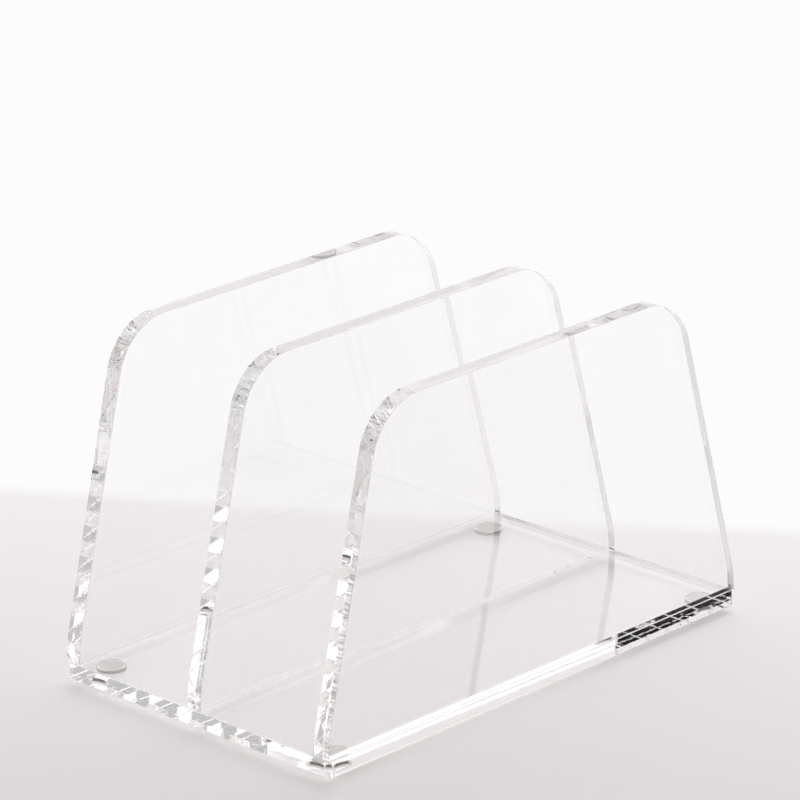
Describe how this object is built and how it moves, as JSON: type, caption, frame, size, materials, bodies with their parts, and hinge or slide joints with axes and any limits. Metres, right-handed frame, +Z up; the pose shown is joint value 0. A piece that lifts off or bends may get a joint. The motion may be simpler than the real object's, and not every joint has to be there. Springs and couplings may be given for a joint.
{
  "type": "desktop file sorter",
  "caption": "Clear acrylic desktop file sorter: upright rounded panels cemented across a rectangular base plate on clear bumper feet, with open slots between the panels.",
  "frame": {"origin": "on the desk surface, under the middle of the base plate", "axes": "+X along the panels, +Y from the front panel to the back panel, +Z up"},
  "size_m": [0.245, 0.155, 0.1518],
  "materials": {
    "acrylic": "clear glossy plastic sheet, edges polished clear",
    "cement": "cured clear acrylic cement, slightly hazy",
    "bumper": "clear soft polyurethane, satin"
  },
  "bodies": {
    "root": {"base_plate": "acrylic", "front_panel": "acrylic", "middle_panel": "acrylic", "back_panel": "acrylic", "front_bond": "cement", "middle_bond": "cement", "back_bond": "cement", "foot_front_left": "bumper", "foot_front_right": "bumper", "foot_back_left": "bumper", "foot_back_right": "bumper"}
  },
  "joints": []
}
